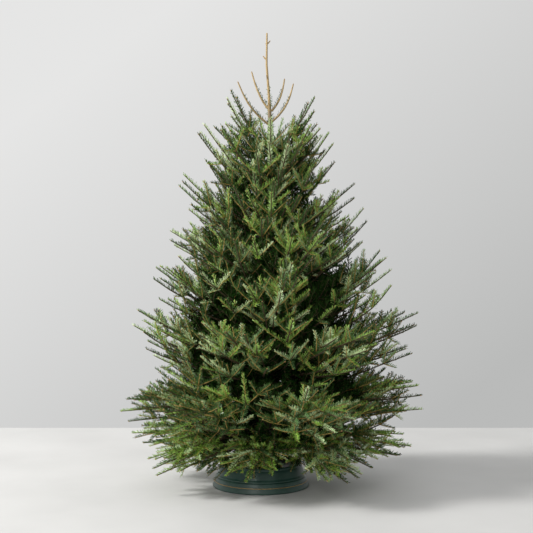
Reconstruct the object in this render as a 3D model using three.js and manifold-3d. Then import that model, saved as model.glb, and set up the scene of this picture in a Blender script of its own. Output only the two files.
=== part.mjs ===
// A cut fir for the living room, standing in a round green stand.
// Millimetres, +Z up. The origin is the centre of the stand's flat underside, +X is the tree's right and -Y its
// front.
import * as THREE from "three";
import { mergeVertices } from "three/addons/utils/BufferGeometryUtils.js";
import Module from "manifold-3d";

// ---- Driving dimensions ----------------------------------------------------------------------------------
const TREE_HEIGHT = 2175; // the stand's underside to the tip of the leader
const CROWN_NODE = 1824; // the last whorl, where the bare leader starts
const TRUNK_X = 44; // the trunk stands this far right of the stand's centre
const TRUNK_CUT = 30; // the saw cut, on the floor of the stand's well
const TRUNK_RADIUS = 38; // just above the stand
const FLARE = 7; // what the butt adds to that at the cut
const NODE_RADIUS = 9; // the trunk at the last whorl
const LEADER_RADIUS = 6.6; // the leader above it
const TIP_RADIUS = 3.8;
const LEADER_SWAY = 16; // how far the leader wanders back to the left

const CLEARANCE = 0.8; // between any two pieces that meet
const FILLED = 0.95; // how much of the room between two tiers their masses fill
const FILLED_BESIDE = 0.93; // and of the room between neighbours in one tier
const NEIGHBOUR = 78; // masses of two tiers whose bearings are closer than this lie over each other
const WIDEST_HALF_ANGLE = 0.62; // of a mass, in radians from the trunk
const HALF_WIDTH = 0.43; // of a mass, for each unit of its reach
const SQUARENESS = 3; // of a mass's section: 2 is an ellipse, and more fills its corners
const UNEVEN = 0.07; // how far the surface of a mass wanders
const MASS_RINGS = 8;
const MASS_SIDES = 10;
const LIMB_STEPS = 4;
const LIMB_SIDES = 6;
const TRUNK_SIDES = 12;
const TRUNK_STEPS = 14;

// A tier of boughs leaves the trunk at one level. Its masses start `inner` from the trunk's axis and are at
// most `halfDepth` thick above and below their middle line; `limb` is the radius of the bare wood that leads to
// them. Each mass is [bearing in degrees from +X towards +Y, reach of its tip from the trunk's axis, height of
// its tip].
const TIERS = [
  {
    name: "skirt", level: 228, inner: 165, halfDepth: 72, limb: 8.5,
    masses: [[356, 665, 190], [308, 590, 122], [256, 480, 128], [206, 600, 132], [160, 690, 205],
      [105, 600, 190], [52, 600, 190]],
  },
  {
    name: "low", level: 372, inner: 140, halfDepth: 104, limb: 9.5,
    masses: [[2, 728, 425], [60, 670, 420], [112, 690, 415], [179, 716, 350], [236, 690, 345],
      [290, 700, 350]],
  },
  {
    name: "broad", level: 545, inner: 60, halfDepth: 140,
    masses: [[8, 736, 752], [66, 640, 740], [128, 640, 740], [187, 652, 762], [252, 655, 690],
      [312, 650, 680]],
  },
  {
    name: "middle", level: 765, inner: 52, halfDepth: 136,
    masses: [[352, 572, 1020], [62, 540, 1000], [134, 560, 1000], [198, 580, 985], [272, 540, 930]],
  },
  {
    name: "upper", level: 970, inner: 50, halfDepth: 126,
    masses: [[12, 492, 1262], [85, 470, 1235], [164, 505, 1150], [230, 480, 1160], [300, 480, 1180]],
  },
  {
    name: "shoulder", level: 1172, inner: 48, halfDepth: 118,
    masses: [[352, 405, 1372], [80, 400, 1410], [178, 440, 1432], [268, 385, 1375]],
  },
  {
    name: "neck", level: 1376, inner: 46, halfDepth: 120,
    masses: [[18, 318, 1640], [108, 320, 1640], [189, 352, 1682], [283, 305, 1600]],
  },
  {
    name: "spire", level: 1570, inner: 42, halfDepth: 100,
    masses: [[338, 228, 1786], [90, 205, 1800], [205, 222, 1838]],
  },
];

// The slender arms of the last two whorls: [bearing, reach, height where they leave the trunk, height of tip].
const CROWN_ARMS = [
  [352, 122, 1752, 1922], [186, 142, 1740, 1930], [12, 84, 1806, 1952], [172, 74, 1816, 1986],
];
const ARM_RADIUS = 5.2;
const ARM_CLEARANCE = 5.6; // a steep arm's foot leans back towards the trunk

// The stand: a round tapered shell with a raised foot band, a dished top and a well that takes the trunk.
const STAND_RADIUS = 232;
const STAND_TOP_RADIUS = 197;
const STAND_HEIGHT = 116;
const FOOT_BAND = 27; // height of the plain band at the foot
const MOULDING = 48; // height where the stepped band above it ends
const STEP = 3; // how far each band stands proud of the next
const DISH_DEPTH = 22;
const DISH_FLOOR_RADIUS = 112; // the level floor of the dish, where the clamp sits
const RIM = 7;
const STAND_SEGMENTS = 40;
const SOCKET_FIT = 2; // room round the butt in its socket
const CLAMP_WALL = 9;
const CLAMP_HEIGHT = 14;
const JAW_COUNT = 4;
const JAW_HEIGHT = 46;
const JAW_WIDTH = 22;
const JAW_THICKNESS = 6;

// ---- Helpers ---------------------------------------------------------------------------------------------
const { lerp, degToRad } = THREE.MathUtils;
const UP = new THREE.Vector3(0, 0, 1);
const BACK = new THREE.Vector3(0, 1, 0);

// The same irregular number from -1 to 1 for the same seed, so that every build is alike.
function uneven(seed) {
  const s = Math.sin(seed * 127.1 + 311.7) * 43758.5453;
  return 2 * (s - Math.floor(s)) - 1;
}

const bark = new THREE.MeshStandardMaterial({ color: 0x6b5340, roughness: 0.9, metalness: 0 });
const youngBark = new THREE.MeshStandardMaterial({ color: 0xb09058, roughness: 0.75, metalness: 0 });
const needles = new THREE.MeshStandardMaterial({ color: 0x3d5a40, roughness: 0.8, metalness: 0 });
const standGreen = new THREE.MeshStandardMaterial({ color: 0x1d3b32, roughness: 0.4, metalness: 0.1 });
const clampSteel = new THREE.MeshStandardMaterial({ color: 0x3a3f3d, roughness: 0.45, metalness: 0.8 });

const wasm = await Module();
wasm.setup();

const tree = new THREE.Group();

function add(name, geometry, material) {
  const mesh = new THREE.Mesh(geometry, material);
  mesh.name = name;
  tree.add(mesh);
  return mesh;
}

// A closed spindle along a curve. sizeAt(t) gives its half width across and its depth above and below the
// curve, and swell(t, turn) how far each corner stands out or in. The wide way of the section stays level, and
// the whole section stands square to the curve, or upright.
function spindle(curve, steps, sides, sizeAt, swell = () => 1, upright = false) {
  const profile = [new THREE.Vector2(0, 0)];
  for (let i = 0; i <= steps; i += 1) profile.push(new THREE.Vector2(1, i / steps));
  profile.push(new THREE.Vector2(0, 1));
  const geometry = new THREE.LatheGeometry(profile, sides);
  const place = geometry.getAttribute("position");
  const across = new THREE.Vector3();
  const above = new THREE.Vector3();
  for (let i = 0; i < place.count; i += 1) {
    const [x, t, z] = [place.getX(i), place.getY(i), place.getZ(i)];
    const middle = curve.getPoint(t);
    const along = curve.getTangent(t);
    across.copy(along).cross(UP);
    if (across.length() < 0.2) across.copy(along).cross(BACK);
    across.normalize();
    if (upright) above.copy(UP);
    else above.copy(across).cross(along);
    const [width, rise, fall] = sizeAt(t);
    const out = Math.hypot(x, z) < 1e-6 ? 0 : swell(t, Math.atan2(z, x));
    middle.addScaledVector(across, x * width * out);
    middle.addScaledVector(above, z * (z > 0 ? rise : fall) * out);
    place.setXYZ(i, middle.x, middle.y, middle.z);
  }
  return geometry;
}

// ---- Trunk -----------------------------------------------------------------------------------------------
function trunkRadius(z) {
  if (z > CROWN_NODE) {
    return lerp(LEADER_RADIUS, TIP_RADIUS, (z - CROWN_NODE) / (TREE_HEIGHT - CROWN_NODE));
  }
  const up = (z - TRUNK_CUT) / (CROWN_NODE - TRUNK_CUT);
  return lerp(TRUNK_RADIUS, NODE_RADIUS, up) + FLARE * Math.exp(-(z - TRUNK_CUT) / 60);
}

function trunkMiddle(z) {
  const leader = Math.max(0, z - CROWN_NODE) / (TREE_HEIGHT - CROWN_NODE);
  const sway = 3 * Math.sin((z / CROWN_NODE) * Math.PI);
  return new THREE.Vector3(TRUNK_X + sway - LEADER_SWAY * Math.sin(leader * 2.2), 0, z);
}

class TrunkLine extends THREE.Curve {
  getPoint(t) {
    return trunkMiddle(lerp(TRUNK_CUT, TREE_HEIGHT, t));
  }
}

add("trunk", spindle(new TrunkLine(), TRUNK_STEPS, TRUNK_SIDES, (t) => {
  const r = trunkRadius(lerp(TRUNK_CUT, TREE_HEIGHT, t));
  return [r, r, r];
}), bark);

// ---- Boughs and masses -----------------------------------------------------------------------------------
// A point at a distance from the trunk's line, on a bearing, at a height.
function from(bearing, distance, height) {
  const a = degToRad(bearing);
  const foot = trunkMiddle(height);
  return new THREE.Vector3(foot.x + distance * Math.cos(a), foot.y + distance * Math.sin(a), height);
}

// The height of a bough's middle line at a distance from the trunk's axis: it leaves the trunk nearly level and
// turns up towards the light, or down under its own weight in the skirt.
function boughHeight(tier, reach, tip, distance) {
  const bend = tip > tier.level ? 1.35 : 2.2;
  return lerp(tier.level, tip, (distance / reach) ** bend);
}

class BoughLine extends THREE.Curve {
  constructor(tier, bearing, reach, tip, start, end) {
    super();
    Object.assign(this, { tier, bearing, reach, tip, start, end });
  }

  getPoint(t) {
    const distance = lerp(this.start, this.end, t);
    return from(this.bearing, distance, boughHeight(this.tier, this.reach, this.tip, distance));
  }
}

function bearingGap(a, b) {
  const apart = Math.abs(a - b) % 360;
  return Math.min(apart, 360 - apart);
}

// Half the angle that a mass may fill before it meets its neighbour in its own tier.
function roomBeside(tier, index) {
  const others = tier.masses.filter((_, i) => i !== index);
  return degToRad(Math.min(...others.map(([b]) => bearingGap(b, tier.masses[index][0]))) / 2);
}

// Half the height between a mass's middle line and the nearest one in the tier above or below it.
function roomTowards(otherTier, bearing, height, distance) {
  if (!otherTier) return Infinity;
  const near = otherTier.masses.filter(([b]) => bearingGap(b, bearing) < NEIGHBOUR);
  const heights = near.map(([, reach, tip]) => boughHeight(otherTier, reach, tip, distance));
  const gaps = heights.map((other) => Math.abs(other - height));
  return (FILLED * Math.min(...gaps)) / 2;
}

// How full a mass is along its length, for its width and for its depth: full from the wood to three quarters of
// its length, and then drawn in to a blunt tip.
const widthShare = (t) => Math.min(1, 1.35 * (1 - t) ** 0.55 + 0.12);
const depthShare = (t) => Math.min(1, 0.74 + 0.6 * t) * (1 - 0.74 * t ** 5);

function buildTier(tier, tierIndex) {
  tier.masses.forEach(([bearing, reach, tip], index) => {
    const halfAngle = Math.min(roomBeside(tier, index), WIDEST_HALF_ANGLE);
    const line = new BoughLine(tier, bearing, reach, tip, tier.inner, reach);
    const seed = tierIndex * 100 + index * 9 + 1;
    // Side sprays stand out at every other ring. No mass is thicker than the tiers above and below leave it.
    const sizeAt = (t) => {
      const distance = lerp(tier.inner, reach, t);
      const height = boughHeight(tier, reach, tip, distance);
      const sector = distance * Math.tan(halfAngle) * FILLED_BESIDE;
      const spray = Math.round(t * MASS_RINGS) % 2 ? 1 : 0.86;
      const depth = tier.halfDepth * depthShare(t);
      return [
        Math.min(sector, HALF_WIDTH * reach * widthShare(t)) * spray,
        Math.min(depth, roomTowards(TIERS[tierIndex + 1], bearing, height, distance)),
        Math.min(depth, roomTowards(TIERS[tierIndex - 1], bearing, height, distance)),
      ];
    };
    const swell = (t, turn) => {
      const [across, above] = [Math.abs(Math.cos(turn)), Math.abs(Math.sin(turn))];
      const squared = (across ** SQUARENESS + above ** SQUARENESS) ** (-1 / SQUARENESS);
      const corner = Math.round((turn / (2 * Math.PI) + 1) * MASS_SIDES) % MASS_SIDES;
      const wander = uneven(seed * 3 + Math.round(t * MASS_RINGS) * 17 + corner * 5);
      return squared * (1 - UNEVEN + UNEVEN * wander);
    };
    const mass = spindle(line, MASS_RINGS, MASS_SIDES, sizeAt, swell, true);
    add(`foliage_${tier.name}_${index + 1}`, mass, needles);

    if (!tier.limb) return;
    const start = trunkRadius(tier.level) + CLEARANCE;
    const bough = new BoughLine(tier, bearing, reach, tip, start, tier.inner - CLEARANCE);
    add(`bough_${tier.name}_${index + 1}`, spindle(bough, LIMB_STEPS, LIMB_SIDES, (t) => {
      const r = lerp(tier.limb, tier.limb * 0.72, t);
      return [r, r, r];
    }), bark);
  });
}

TIERS.forEach(buildTier);

CROWN_ARMS.forEach(([bearing, reach, level, tip], index) => {
  const start = trunkRadius(level) + ARM_CLEARANCE;
  const arm = new THREE.QuadraticBezierCurve3(
    from(bearing, start, level),
    from(bearing, reach * 0.72, lerp(level, tip, 0.3)),
    from(bearing, reach, tip),
  );
  add(`crown_arm_${index + 1}`, spindle(arm, LIMB_STEPS, LIMB_SIDES, (t) => {
    const r = lerp(ARM_RADIUS, ARM_RADIUS * 0.55, t);
    return [r, r, r];
  }), youngBark);
});

// ---- Stand -----------------------------------------------------------------------------------------------
// A three.js solid as a manifold-3d one, for cutting and joining.
function toManifold(geometry) {
  const bare = geometry.index ? geometry.toNonIndexed() : geometry.clone();
  bare.deleteAttribute("normal");
  bare.deleteAttribute("uv");
  const merged = mergeVertices(bare, 1e-3);
  return new wasm.Manifold(new wasm.Mesh({
    numProp: 3,
    vertProperties: merged.getAttribute("position").array,
    triVerts: new Uint32Array(merged.index.array),
  }));
}

function toGeometry(manifold) {
  const made = manifold.getMesh();
  const geometry = new THREE.BufferGeometry();
  geometry.setAttribute("position", new THREE.BufferAttribute(made.vertProperties, 3));
  geometry.setIndex(new THREE.BufferAttribute(made.triVerts, 1));
  geometry.computeVertexNormals();
  return geometry;
}

function buildShell() {
  const lean = (STAND_RADIUS - STAND_TOP_RADIUS) / STAND_HEIGHT;
  const wallAt = (z) => STAND_RADIUS - lean * z;
  const profile = [
    [0, 0],
    [STAND_RADIUS - 4, 0],
    [STAND_RADIUS, 4],
    [wallAt(FOOT_BAND), FOOT_BAND],
    [wallAt(FOOT_BAND) - STEP, FOOT_BAND + 2],
    [wallAt(MOULDING) - STEP, MOULDING],
    [wallAt(MOULDING + 3) - 2 * STEP, MOULDING + 3],
    [wallAt(STAND_HEIGHT - RIM) - 2 * STEP, STAND_HEIGHT - RIM],
    [STAND_TOP_RADIUS, STAND_HEIGHT - RIM + 1],
    [STAND_TOP_RADIUS, STAND_HEIGHT - 1],
    [STAND_TOP_RADIUS - RIM, STAND_HEIGHT - 1],
    [DISH_FLOOR_RADIUS, STAND_HEIGHT - DISH_DEPTH],
    [0, STAND_HEIGHT - DISH_DEPTH],
  ].map(([r, z]) => new THREE.Vector2(r, z));
  const shell = new THREE.LatheGeometry(profile, STAND_SEGMENTS).rotateX(Math.PI / 2);
  const butt = trunkMiddle(TRUNK_CUT);
  const socketRadius = TRUNK_RADIUS + FLARE + SOCKET_FIT;
  const socket = new THREE.CylinderGeometry(socketRadius, socketRadius, STAND_HEIGHT, 24).rotateX(Math.PI / 2);
  socket.translate(butt.x, butt.y, TRUNK_CUT - SOCKET_FIT + STAND_HEIGHT / 2);
  add("stand_shell", toGeometry(toManifold(shell).subtract(toManifold(socket))), standGreen);
}

// A steel ring on the floor of the dish, with upright jaws that close on the trunk.
function buildClamp() {
  const level = STAND_HEIGHT - DISH_DEPTH + CLEARANCE;
  const inner = TRUNK_RADIUS + FLARE + SOCKET_FIT;
  const middle = trunkMiddle(level);
  const ring = new THREE.LatheGeometry([
    new THREE.Vector2(inner, 0),
    new THREE.Vector2(inner + CLAMP_WALL, 0),
    new THREE.Vector2(inner + CLAMP_WALL, CLAMP_HEIGHT),
    new THREE.Vector2(inner, CLAMP_HEIGHT),
    new THREE.Vector2(inner, 0),
  ], 24).rotateX(Math.PI / 2);
  ring.translate(middle.x, middle.y, level);
  let clamp = toManifold(ring);
  const grip = trunkRadius(level + JAW_HEIGHT) + CLEARANCE;
  const foot = inner + CLAMP_WALL / 2;
  for (let i = 0; i < JAW_COUNT; i += 1) {
    const jaw = new THREE.Shape();
    jaw.moveTo(foot - CLAMP_WALL / 2 + 1, 1);
    jaw.lineTo(foot + CLAMP_WALL / 2 - 1, 1);
    jaw.lineTo(foot + CLAMP_WALL / 2 - 1, JAW_HEIGHT * 0.6);
    jaw.lineTo(grip + JAW_THICKNESS, JAW_HEIGHT);
    jaw.lineTo(grip, JAW_HEIGHT);
    jaw.lineTo(foot - CLAMP_WALL / 2 + 1, JAW_HEIGHT * 0.6);
    jaw.closePath();
    const turn = (i + 0.5) * (2 * Math.PI) / JAW_COUNT;
    const plate = new THREE.ExtrudeGeometry(jaw, { depth: JAW_WIDTH, bevelEnabled: false });
    plate.translate(0, 0, -JAW_WIDTH / 2).rotateX(Math.PI / 2).rotateZ(turn);
    plate.translate(middle.x, middle.y, level);
    clamp = clamp.add(toManifold(plate));
  }
  add("stand_clamp", toGeometry(clamp), clampSteel);
}

buildShell();
buildClamp();

export default tree;
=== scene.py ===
"""A cut fir in its green stand: the stand, the trunk and boughs, and the twigs, buds and needles on them."""
import math
import random

import bmesh
import bpy
import numpy as np
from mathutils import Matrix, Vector, noise
from mathutils.bvhtree import BVHTree


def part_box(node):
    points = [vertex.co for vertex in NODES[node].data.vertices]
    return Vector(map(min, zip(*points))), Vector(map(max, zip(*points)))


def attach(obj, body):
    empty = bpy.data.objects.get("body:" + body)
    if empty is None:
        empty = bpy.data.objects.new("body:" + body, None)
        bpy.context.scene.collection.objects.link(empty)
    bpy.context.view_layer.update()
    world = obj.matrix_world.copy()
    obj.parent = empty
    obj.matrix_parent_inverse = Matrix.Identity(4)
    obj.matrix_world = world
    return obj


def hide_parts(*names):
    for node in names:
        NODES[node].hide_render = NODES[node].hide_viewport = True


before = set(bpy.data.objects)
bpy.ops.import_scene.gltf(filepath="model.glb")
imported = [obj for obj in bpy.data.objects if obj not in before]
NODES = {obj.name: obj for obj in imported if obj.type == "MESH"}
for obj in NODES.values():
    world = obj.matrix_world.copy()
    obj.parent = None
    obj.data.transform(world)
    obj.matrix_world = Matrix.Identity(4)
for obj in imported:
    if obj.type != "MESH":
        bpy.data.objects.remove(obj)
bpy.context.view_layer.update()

# ---- The camera and the studio -----------------------------------------------------------------------------
# A level camera in front of the tree at half its height, a pale floor that ends behind it against a pale wall
# of light, a large soft lamp high on the left and a weak one that fills in from the front.
camera_lens = bpy.data.cameras.new("camera")
camera_lens.lens = 68.8
camera = bpy.data.objects.new("camera", camera_lens)
camera.location = (0.0274, -4.9, 1.05)
camera.rotation_euler = (math.radians(90), 0, 0)
bpy.context.scene.collection.objects.link(camera)
bpy.context.scene.camera = camera
bpy.context.scene.view_settings.view_transform = "Standard"


def put(tree, kind, wired=None, **settings):
    """Adds a node to a tree. wired gives each input, by name or number, a value or another node's output."""
    node = tree.nodes.new(kind)
    for name, value in settings.items():
        setattr(node, name, value)
    for key, value in (wired or {}).items():
        if isinstance(value, bpy.types.NodeSocket):
            tree.links.new(value, node.inputs[key])
        else:
            node.inputs[key].default_value = value
    return node


def new_material(name, roughness=0.6, **sockets):
    """A material with one Principled shader. Returns the material, its tree and the shader."""
    material = bpy.data.materials.new(name)
    material.use_nodes = True
    tree = material.node_tree
    shader = tree.nodes["Principled BSDF"]
    shader.inputs["Roughness"].default_value = roughness
    for socket, value in sockets.items():
        shader.inputs[socket.replace("_", " ")].default_value = value
    return material, tree, shader


def new_piece(name, vertices, faces, material, smooth=True):
    """A mesh object at the origin with one material."""
    mesh = bpy.data.meshes.new(name)
    mesh.from_pydata([tuple(v) for v in vertices], [], faces)
    mesh.materials.append(material)
    mesh.polygons.foreach_set("use_smooth", [smooth] * len(mesh.polygons))
    mesh.update()
    piece = bpy.data.objects.new(name, mesh)
    bpy.context.scene.collection.objects.link(piece)
    return piece


def speckle(tree, scale, low, high, detail=4.0):
    """Noise on the piece's own coordinates, spread between two values."""
    place = put(tree, "ShaderNodeTexCoord")
    grain = put(tree, "ShaderNodeTexNoise", {
        "Vector": place.outputs["Object"], "Scale": scale, "Detail": detail})
    spread = put(tree, "ShaderNodeMapRange", {
        "Value": grain.outputs[0], "From Min": 0.3, "From Max": 0.7, "To Min": low, "To Max": high})
    return spread.outputs[0]


def two_colours(tree, share, first, second):
    """A colour between two, by a share from 0 to 1."""
    mixed = put(tree, "ShaderNodeMix", {0: share}, data_type="RGBA")
    for socket, colour in ((mixed.inputs[6], first), (mixed.inputs[7], second)):
        if isinstance(colour, bpy.types.NodeSocket):
            tree.links.new(colour, socket)
        else:
            socket.default_value = (*colour, 1)
    return mixed.outputs[2]


FLOOR_BEHIND = 1.73
FLOOR_SIZE = 14.0
floor_paint, tree_of_floor, floor_shader = new_material("floor_paint", 0.75)
tree_of_floor.links.new(
    two_colours(tree_of_floor, speckle(tree_of_floor, 1.7, 0, 1), (0.42, 0.42, 0.416), (0.47, 0.47, 0.466)),
    floor_shader.inputs["Base Color"])
half = FLOOR_SIZE / 2
floor = new_piece("floor", [
    (-half, FLOOR_BEHIND - FLOOR_SIZE, 0), (half, FLOOR_BEHIND - FLOOR_SIZE, 0),
    (half, FLOOR_BEHIND, 0), (-half, FLOOR_BEHIND, 0)], [(0, 1, 2, 3)], floor_paint)

world = bpy.data.worlds.new("pale_room")
world.use_nodes = True
bpy.context.scene.world = world
sky = world.node_tree
# The wall's darkening to the right and downwards is painted shade on the backdrop, as if lit from the upper
# left; the same world also lights the tree.
DARKENS_TOWARDS = (1.31, 0, -1.70)  # to the right and downwards
SHADE_AHEAD = 0.54  # its share straight ahead
toward = put(sky, "ShaderNodeTexCoord").outputs["Generated"]
fall_off = put(sky, "ShaderNodeVectorMath", {0: toward, 1: DARKENS_TOWARDS}, operation="DOT_PRODUCT")
shade = put(sky, "ShaderNodeMath", {0: fall_off.outputs["Value"], 1: SHADE_AHEAD}, operation="ADD",
            use_clamp=True)
wall_light = two_colours(sky, shade.outputs[0], (0.79, 0.79, 0.785), (0.49, 0.495, 0.49))
background = sky.nodes["Background"]
sky.links.new(wall_light, background.inputs["Color"])
AMBIENT = 1.08  # how many times brighter the wall is as a light than as it is seen
seen = put(sky, "ShaderNodeLightPath").outputs["Is Camera Ray"]
background_strength = put(sky, "ShaderNodeMapRange", {"Value": seen, "To Min": AMBIENT, "To Max": 1.0})
sky.links.new(background_strength.outputs[0], background.inputs["Strength"])


def add_lamp(name, place, target, size, power, colour):
    """A square lamp at a place, turned to face its target."""
    lamp = bpy.data.lights.new(name, "AREA")
    lamp.size = size
    lamp.energy = power
    lamp.color = colour
    holder = bpy.data.objects.new(name, lamp)
    holder.location = place
    holder.rotation_euler = (Vector(target) - Vector(place)).to_track_quat("-Z", "Y").to_euler()
    bpy.context.scene.collection.objects.link(holder)


add_lamp("window", (-7.6, -2.1, 7.6), (0, 0, 0.9), 2.2, 1400, (1.0, 0.985, 0.96))
add_lamp("front_fill", (-1.5, -6.0, 3.4), (0, 0, 1.0), 1.2, 70, (1.0, 0.99, 0.97))

# ---- The stand ---------------------------------------------------------------------------------------------
# A low round stand of steel sheet, pressed in one piece with a foot band, a stepped moulding and a rolled rim
# round a shallow dish, and finished in satin green enamel. A thin gilt line is painted round the foot band.
stand_low, stand_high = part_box("stand_shell")
STAND_FOOT = (stand_high.x - stand_low.x) / 2
STAND_TOP = stand_high.z
STAND_LEAN = 0.30  # how far the wall leans in for each metre of its height
STAND_SIDES = 144


def lathe(profile, sides, middle=(0, 0)):
    """A closed surface of revolution from (radius, height) points; a radius of 0 makes a pole."""
    vertices, faces, rings = [], [], []
    for radius, height in profile:
        count = 1 if radius < 1e-6 else sides
        rings.append(range(len(vertices), len(vertices) + count))
        for k in range(count):
            a = 2 * math.pi * k / sides
            vertices.append((middle[0] + radius * math.cos(a), middle[1] + radius * math.sin(a), height))
    for low, high in zip(rings, rings[1:]):
        for k in range(sides):
            after = k + 1
            ring = [low[k % len(low)], low[after % len(low)], high[after % len(high)], high[k % len(high)]]
            corners = list(dict.fromkeys(ring))
            if len(corners) > 2:
                faces.append(corners)
    return vertices, faces


def arc(middle, radius, start, end, steps):
    """Points on an arc of a profile, from one angle to another in degrees."""
    angles = [math.radians(start + (end - start) * k / steps) for k in range(steps + 1)]
    return [(middle[0] + radius * math.cos(a), middle[1] + radius * math.sin(a)) for a in angles]


def wall_radius(z):
    """The outer radius of the stand's wall at a height, before the moulding steps it in."""
    return STAND_FOOT - STAND_LEAN * z


FOOT_BAND_TOP = 0.045
MOULDING_TOP = 0.058
stand_profile = [(0, 0.0004), (STAND_FOOT - 0.012, 0.0004)]
stand_profile += arc((STAND_FOOT - 0.005, 0.005), 0.0045, -90, 15, 6)
stand_profile += [(wall_radius(FOOT_BAND_TOP * k / 5) - 0.0006, FOOT_BAND_TOP * k / 5) for k in (2, 3, 4)]
stand_profile += arc((wall_radius(FOOT_BAND_TOP) - 0.0035, FOOT_BAND_TOP), 0.003, 20, 90, 4)
stand_profile += arc((wall_radius(MOULDING_TOP) - 0.0050, MOULDING_TOP - 0.004), 0.0028, -30, 70, 5)
stand_profile += [(wall_radius(z) - 0.0048, z) for z in (0.066, 0.078, 0.090, 0.100)]
stand_profile += arc((wall_radius(STAND_TOP) - 0.006, STAND_TOP - 0.006), 0.0058, -60, 170, 10)
dish_floor = STAND_TOP - 0.024
stand_profile += [(wall_radius(STAND_TOP) - 0.014, STAND_TOP - 0.012), (0.150, dish_floor + 0.004)]
stand_profile += [(0.128, dish_floor), (0.06, dish_floor), (0, dish_floor)]

enamel, enamel_tree, enamel_shader = new_material("green_enamel", 0.34, Specular_IOR_Level=0.42)
green = two_colours(enamel_tree, speckle(enamel_tree, 9, 0, 1), (0.010, 0.040, 0.030), (0.016, 0.056, 0.042))
dust = speckle(enamel_tree, 60, 0, 0.09, 8)
dusty_green = two_colours(enamel_tree, dust, green, (0.11, 0.13, 0.12))
enamel_tree.links.new(dusty_green, enamel_shader.inputs["Base Color"])
enamel_tree.links.new(speckle(enamel_tree, 25, 0.28, 0.46), enamel_shader.inputs["Roughness"])
peel = put(enamel_tree, "ShaderNodeBump", {
    "Height": speckle(enamel_tree, 240, 0, 1, 2), "Strength": 0.10, "Distance": 0.0006})
enamel_tree.links.new(peel.outputs[0], enamel_shader.inputs["Normal"])

stand = new_piece("stand_body", *lathe(stand_profile, STAND_SIDES), enamel)
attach(stand, "root")
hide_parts("stand_shell")


def mottled(name, roughness, colour_scale, first, second, rough_scale, low, high, detail=4.0, **sockets):
    """A material that is mottled in two colours and between two roughnesses."""
    material, tree, shader = new_material(name, roughness, **sockets)
    colour = two_colours(tree, speckle(tree, colour_scale, 0, 1, detail), first, second)
    tree.links.new(colour, shader.inputs["Base Color"])
    tree.links.new(speckle(tree, rough_scale, low, high), shader.inputs["Roughness"])
    return material


gilt = mottled("gilt_paint", 0.35, 70, (0.55, 0.35, 0.12), (0.33, 0.20, 0.07), 90, 0.28, 0.5, Metallic=0.75)
GILT_LEVEL = 0.0275
GILT_HALF = 0.0013
gilt_radius = wall_radius(GILT_LEVEL)
gilt_back = gilt_radius - 0.0018
gilt_profile = [(gilt_back, GILT_LEVEL - GILT_HALF), (gilt_radius, GILT_LEVEL - GILT_HALF),
                (gilt_radius + 0.0004, GILT_LEVEL), (gilt_radius, GILT_LEVEL + GILT_HALF),
                (gilt_back, GILT_LEVEL + GILT_HALF), (gilt_back, GILT_LEVEL - GILT_HALF)]
gilt_line = new_piece("stand_gilt_line", *lathe(gilt_profile, STAND_SIDES), gilt)
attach(gilt_line, "root")

# ---- The clamp ---------------------------------------------------------------------------------------------
# A zinc-plated steel ring bolted to the floor of the dish, with four bent jaws that a screw each presses
# against the butt of the trunk.
clamp_low, clamp_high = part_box("stand_clamp")
clamp_middle = (clamp_low + clamp_high) / 2
CLAMP_RADIUS = (clamp_high.x - clamp_low.x) / 2
RING_WALL = 0.009
RING_HEIGHT = 0.014
JAWS = 4
JAW_HALF_WIDTH = 0.010
GRIP = 0.0395  # from the clamp's axis to the face of each jaw
SCREW_RADIUS, SCREW_HEAD_RADIUS = 0.0035, 0.0075
zinc = mottled("zinc_plate", 0.4, 80, (0.20, 0.21, 0.20), (0.32, 0.33, 0.31), 160, 0.3, 0.55, Metallic=0.85)


def join(parts):
    """Joins (vertices, faces) lists into one."""
    vertices, faces = [], []
    for more_vertices, more_faces in parts:
        faces += [[len(vertices) + k for k in face] for face in more_faces]
        vertices += more_vertices
    return vertices, faces


def prism(outline, half_width, turn, middle):
    """An upright plate: an outline of (distance out, height), given a width and turned round an axis."""
    vertices = []
    for side in (-half_width, half_width):
        for out, up in outline:
            vertices.append((middle[0] + out * math.cos(turn) - side * math.sin(turn),
                             middle[1] + out * math.sin(turn) + side * math.cos(turn), up))
    n = len(outline)
    faces = [list(range(n)), list(range(2 * n - 1, n - 1, -1))]
    faces += [[k, k + n, (k + 1) % n + n, (k + 1) % n] for k in range(n)]
    return vertices, faces


def rod(start, end, radius, sides=10):
    """A round rod with flat ends between two points."""
    along = (Vector(end) - Vector(start)).normalized()
    across = along.orthogonal().normalized()
    above = along.cross(across)
    vertices = []
    for point in (start, end):
        for k in range(sides):
            a = 2 * math.pi * k / sides
            vertices.append(Vector(point) + (across * math.cos(a) + above * math.sin(a)) * radius)
    faces = [[k, (k + 1) % sides, (k + 1) % sides + sides, k + sides] for k in range(sides)]
    return vertices, faces + [list(range(sides - 1, -1, -1)), list(range(sides, 2 * sides))]


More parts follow.
